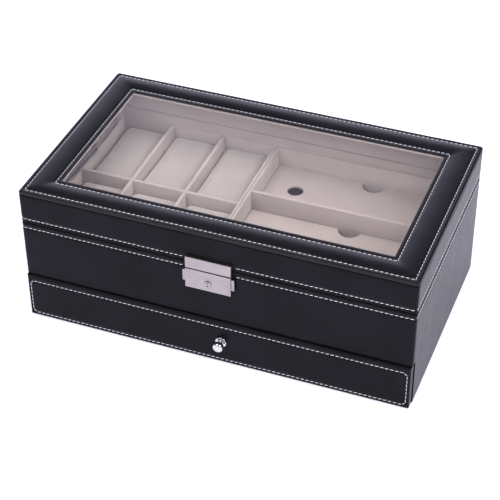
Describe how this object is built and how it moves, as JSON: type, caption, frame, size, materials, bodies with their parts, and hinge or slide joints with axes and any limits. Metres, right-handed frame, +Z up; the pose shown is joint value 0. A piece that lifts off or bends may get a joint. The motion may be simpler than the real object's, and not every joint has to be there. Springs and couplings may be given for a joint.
{
  "type": "watch and jewelry box",
  "caption": "Two-tier watch and jewelry box with a glazed hinged lid, cushioned watch cells, a glasses bay with lift-out boards, a squeeze clasp and a drawer.",
  "frame": {"origin": "middle of the underside, on the face the box stands on", "axes": "+Z up, -Y towards the clasp and drawer front, +X to the right seen from the front"},
  "size_m": [0.33, 0.2046, 0.1272],
  "materials": {
    "black_leatherette": "fine grain, semi-gloss",
    "beige_velvet": "short pile",
    "cushion_velvet": "short pile, padded",
    "fibreboard": "raw board",
    "black_felt": "felt",
    "window_glass": "clear, polished edges hidden",
    "satin_nickel": "satin plate",
    "polished_chrome": "mirror polish",
    "plated_steel": "zinc plate"
  },
  "bodies": {
    "base": {"front_rail": "black_leatherette", "back_panel": "black_leatherette", "left_side_panel": "black_leatherette", "right_side_panel": "black_leatherette", "bottom_panel": "fibreboard", "underside_felt": "black_felt", "deck_panel": "fibreboard", "front_and_back_liners": "beige_velvet", "side_liners": "beige_velvet", "tray_floor_lining": "beige_velvet", "section_partition": "beige_velvet", "watch_row_divider": "beige_velvet", "glasses_divider": "beige_velvet", "back_cell_dividers": "beige_velvet", "front_cell_dividers": "beige_velvet", "floor_board_ledges": "beige_velvet", "drawer_glides": "black_felt", "drawer_stops": "fibreboard", "hinge_base_leaves": "plated_steel", "hinge_pins": "plated_steel", "hinge_screws_base": "plated_steel", "lock_case": "satin_nickel", "lock_back_plate": "satin_nickel", "button_springs": "plated_steel", "stay_base_bracket": "plated_steel"},
    "lid": {"lid_front_wall": "black_leatherette", "lid_back_wall": "black_leatherette", "lid_left_wall": "black_leatherette", "lid_right_wall": "black_leatherette", "lid_top_frame": "black_leatherette", "lid_glass": "window_glass", "glass_retainer": "beige_velvet", "lid_liners": "beige_velvet", "hinge_lid_leaves": "plated_steel", "hinge_screws_lid": "plated_steel", "hasp_plate": "satin_nickel", "stay_lid_bracket": "plated_steel"},
    "drawer": {"drawer_front": "black_leatherette", "drawer_sides": "beige_velvet", "drawer_back": "beige_velvet", "drawer_floor_panel": "fibreboard", "drawer_floor_lining": "beige_velvet", "drawer_dividers": "beige_velvet", "drawer_knob": "polished_chrome", "knob_screw": "plated_steel"},
    "stay_rear_arm": {"stay_base_arm": "plated_steel", "stay_elbow_rivet": "plated_steel"},
    "stay_front_arm": {"stay_lid_arm": "plated_steel"},
    "left_button": {"release_button_left": "satin_nickel"},
    "right_button": {"release_button_right": "satin_nickel"},
    "key_cylinder": {"key_cylinder": "satin_nickel"},
    "back_board": {"back_floor_board": "beige_velvet"},
    "front_board": {"front_floor_board": "beige_velvet"},
    "back_watch_cushion_1": {"back_watch_cushion_1": "cushion_velvet"},
    "back_watch_cushion_2": {"back_watch_cushion_2": "cushion_velvet"},
    "back_watch_cushion_3": {"back_watch_cushion_3": "cushion_velvet"},
    "front_watch_cushion_1": {"front_watch_cushion_1": "cushion_velvet"},
    "front_watch_cushion_2": {"front_watch_cushion_2": "cushion_velvet"},
    "front_watch_cushion_3": {"front_watch_cushion_3": "cushion_velvet"}
  },
  "joints": [
    {"name": "lid_hinge", "type": "hinge", "parent": "base", "child": "lid", "pos_m": [0, 0.0964, 0.0956], "axis": [-1, 0, 0], "range_deg": [0, 95]},
    {"name": "drawer_slide", "type": "slide", "parent": "base", "child": "drawer", "axis": [0, -1, 0], "range_m": [0, 0.12]},
    {"name": "stay_rear_pivot", "type": "hinge", "parent": "base", "child": "stay_rear_arm", "pos_m": [-0.1555, 0.028, 0.0902], "axis": [-1, 0, 0], "range_deg": [0, 95]},
    {"name": "stay_elbow", "type": "hinge", "parent": "stay_rear_arm", "child": "stay_front_arm", "pos_m": [-0.156, -0.0404, 0.0938], "axis": [1, 0, 0], "range_deg": [0, 95]},
    {"name": "left_button_press", "type": "slide", "parent": "base", "child": "left_button", "axis": [1, 0, 0], "range_m": [0, 0.0015], "stiffness_N_per_m": 400, "springref_m": -0.001},
    {"name": "right_button_press", "type": "slide", "parent": "base", "child": "right_button", "axis": [-1, 0, 0], "range_m": [0, 0.0015], "stiffness_N_per_m": 400, "springref_m": -0.001},
    {"name": "key_turn", "type": "hinge", "parent": "base", "child": "key_cylinder", "pos_m": [-0.002, -0.0975, 0.08], "axis": [0, -1, 0], "range_deg": [0, 90]},
    {"name": "back_board_lift", "type": "slide", "parent": "base", "child": "back_board", "axis": [0, 0, 1], "range_m": [0, 0.04]},
    {"name": "front_board_lift", "type": "slide", "parent": "base", "child": "front_board", "axis": [0, 0, 1], "range_m": [0, 0.04]},
    {"name": "back_watch_cushion_1_lift", "type": "slide", "parent": "base", "child": "back_watch_cushion_1", "axis": [0, 0, 1], "range_m": [0, 0.04]},
    {"name": "back_watch_cushion_2_lift", "type": "slide", "parent": "base", "child": "back_watch_cushion_2", "axis": [0, 0, 1], "range_m": [0, 0.04]},
    {"name": "back_watch_cushion_3_lift", "type": "slide", "parent": "base", "child": "back_watch_cushion_3", "axis": [0, 0, 1], "range_m": [0, 0.04]},
    {"name": "front_watch_cushion_1_lift", "type": "slide", "parent": "base", "child": "front_watch_cushion_1", "axis": [0, 0, 1], "range_m": [0, 0.04]},
    {"name": "front_watch_cushion_2_lift", "type": "slide", "parent": "base", "child": "front_watch_cushion_2", "axis": [0, 0, 1], "range_m": [0, 0.04]},
    {"name": "front_watch_cushion_3_lift", "type": "slide", "parent": "base", "child": "front_watch_cushion_3", "axis": [0, 0, 1], "range_m": [0, 0.04]}
  ],
  "couplings": [
    {"joint": "stay_rear_pivot", "follows": "lid_hinge", "ratio": 1},
    {"joint": "stay_elbow", "follows": "lid_hinge", "ratio": 1}
  ]
}
